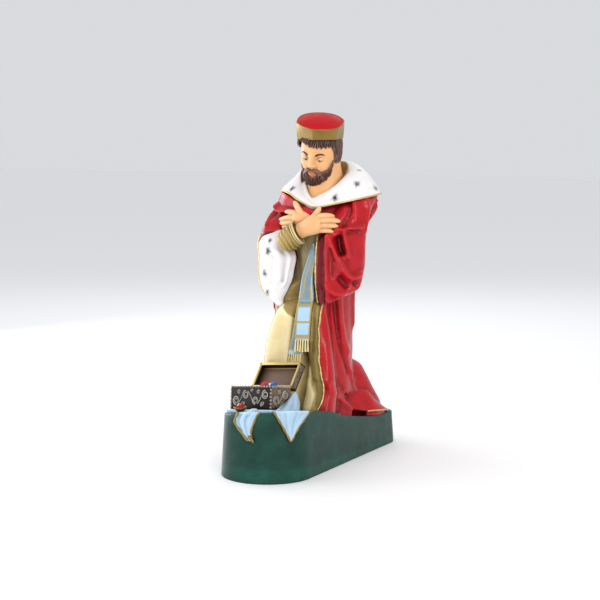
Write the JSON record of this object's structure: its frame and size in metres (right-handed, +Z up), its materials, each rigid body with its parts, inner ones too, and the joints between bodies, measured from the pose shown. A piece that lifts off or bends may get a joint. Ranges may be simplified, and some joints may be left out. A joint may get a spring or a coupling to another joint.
{
  "type": "nativity wise man figure",
  "caption": "Kneeling robed figure with hands crossed on the chest, cast with a long round-ended plinth, and an open hollow casket on a cloth before it.",
  "frame": {"origin": "centre of the plinth's flat underside", "axes": "+Z up, the figure faces -Y, and its left side is +X"},
  "size_m": [0.177, 0.3798, 0.5167],
  "materials": {
    "red_enamel": "gloss red enamel brushed on a cast figure",
    "cream_enamel": "satin cream enamel shaded with ochre in the folds",
    "gold_paint": "gold paint with a soft metallic sheen",
    "fur_paint": "satin white paint with soft black ermine spots",
    "skin_paint": "satin skin-coloured paint",
    "hair_paint": "satin dark brown paint, lighter on the locks",
    "blue_paint": "satin light blue paint",
    "plinth_enamel": "gloss dark green enamel",
    "dark_wood_paint": "satin dark brown paint with pale gold scrolls",
    "jewel_paint": "gloss jewel colours: red, blue and gold"
  },
  "bodies": {
    "root": {"wise_man_figure": "red_enamel", "treasure_casket": "dark_wood_paint"}
  },
  "joints": []
}
